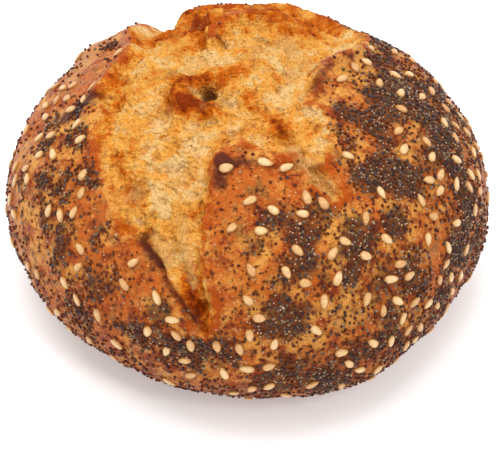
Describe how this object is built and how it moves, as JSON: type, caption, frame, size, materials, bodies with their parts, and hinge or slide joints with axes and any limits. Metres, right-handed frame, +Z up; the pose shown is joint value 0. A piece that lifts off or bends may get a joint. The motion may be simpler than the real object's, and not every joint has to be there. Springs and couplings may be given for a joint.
{
  "type": "bread roll",
  "caption": "Round crusty bread roll, burst open over its crown, strewn with sesame and poppy seeds, on a flat foot.",
  "frame": {"origin": "middle of the flat foot that the roll rests on, at table height", "axes": "+Z up, +X to the roll's right, -Y to its front, the side that the long tear runs down"},
  "size_m": [0.1116, 0.1101, 0.0616],
  "materials": {
    "crust": "baked bread crust, satin, golden torn crumb over the crown",
    "sesame": "toasted sesame seed, satin",
    "poppy": "poppy seed, dark blue grey, slightly shiny"
  },
  "bodies": {
    "root": {"bread_roll": "crust"}
  },
  "joints": []
}
